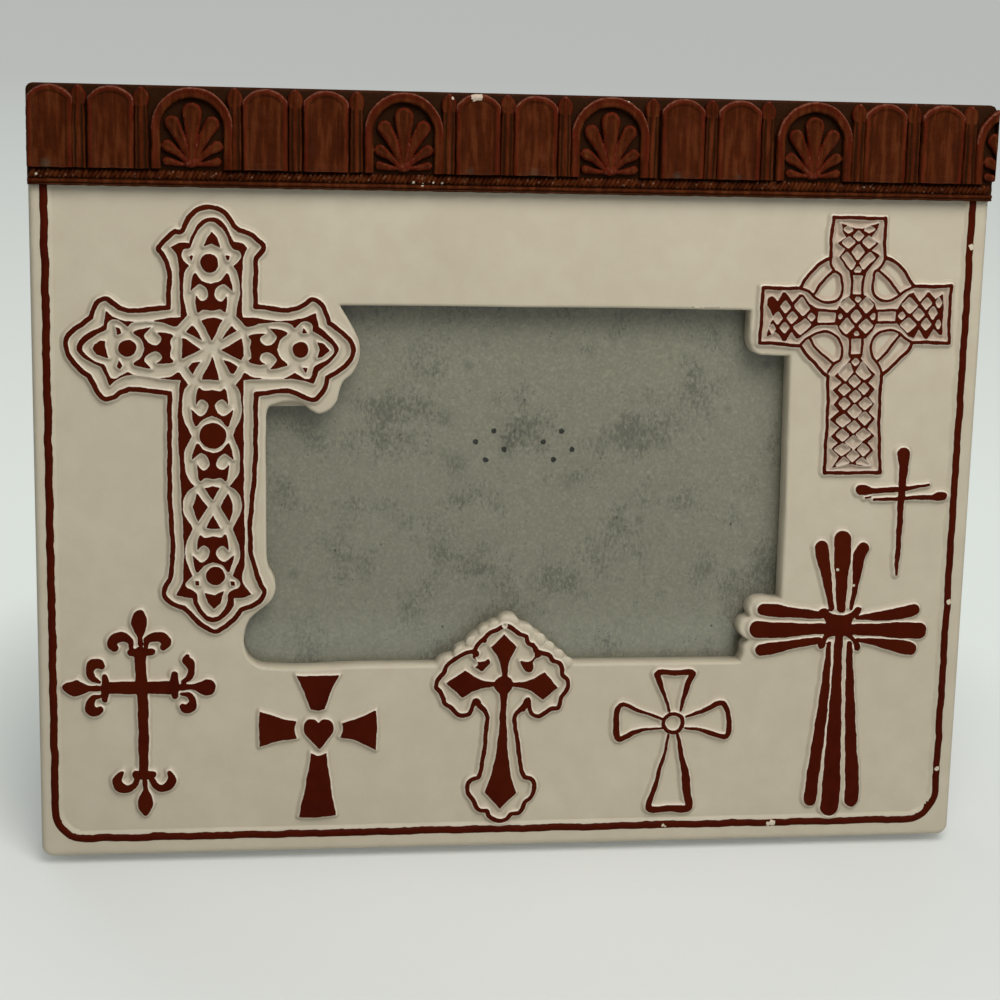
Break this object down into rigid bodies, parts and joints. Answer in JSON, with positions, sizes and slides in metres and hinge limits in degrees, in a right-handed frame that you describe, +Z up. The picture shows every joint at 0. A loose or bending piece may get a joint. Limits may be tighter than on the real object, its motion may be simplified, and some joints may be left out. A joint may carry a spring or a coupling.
{
  "type": "picture frame",
  "caption": "Standing landscape picture frame with raised crosses round an irregular window, a carved top moulding, turn buttons and a hinged strut.",
  "frame": {"origin": "middle of the frame's own space on the surface it stands on: the lower rear edge of the casting and the foot of the strut both touch Z = 0", "axes": "+X to the right as seen from the front, +Y to the rear, where the strut is, +Z up; the panel leans back 13 degrees from upright, and its front looks along -Y and a little up"},
  "size_m": [0.254, 0.0598, 0.2031],
  "materials": {
    "cast_body": "satin cream paint with oxblood paint on the raised parts, over cast resin",
    "moulding": "satin red-brown stain, darker in the recesses, over cast resin",
    "glazing": "clear picture glass",
    "greyboard": "mottled grey board",
    "flock": "board covered in black flocked paper",
    "plated_steel": "zinc-plated sheet steel"
  },
  "bodies": {
    "frame": {"frame_casting": "cast_body", "cornice": "moulding", "glass_pane": "glazing", "backing_board": "greyboard", "backing_cover": "flock", "hinge_fixed_leaf": "plated_steel", "hinge_pronged_rivets": "plated_steel", "hinge_pin": "plated_steel", "turn_button_screws": "plated_steel"},
    "strut": {"hinge_moving_leaf": "plated_steel", "strut_board": "flock", "strut_rivets": "plated_steel"},
    "button_1": {"turn_button_1": "plated_steel"},
    "button_2": {"turn_button_2": "plated_steel"},
    "button_3": {"turn_button_3": "plated_steel"},
    "button_4": {"turn_button_4": "plated_steel"}
  },
  "joints": [
    {"name": "strut_hinge", "type": "hinge", "parent": "frame", "child": "strut", "pos_m": [0.003, 0.00765, 0.09949], "axis": [1, 0, 0], "range_deg": [-25, 0]},
    {"name": "button_1_turn", "type": "hinge", "parent": "frame", "child": "button_1", "pos_m": [-0.047, -0.00685, 0.04136], "axis": [0, 0.9744, -0.225], "continuous": true},
    {"name": "button_2_turn", "type": "hinge", "parent": "frame", "child": "button_2", "pos_m": [0.053, -0.00685, 0.04136], "axis": [0, 0.9744, -0.225], "continuous": true},
    {"name": "button_3_turn", "type": "hinge", "parent": "frame", "child": "button_3", "pos_m": [-0.047, 0.01943, 0.15517], "axis": [0, 0.9744, -0.225], "continuous": true},
    {"name": "button_4_turn", "type": "hinge", "parent": "frame", "child": "button_4", "pos_m": [0.053, 0.01943, 0.15517], "axis": [0, 0.9744, -0.225], "continuous": true}
  ]
}
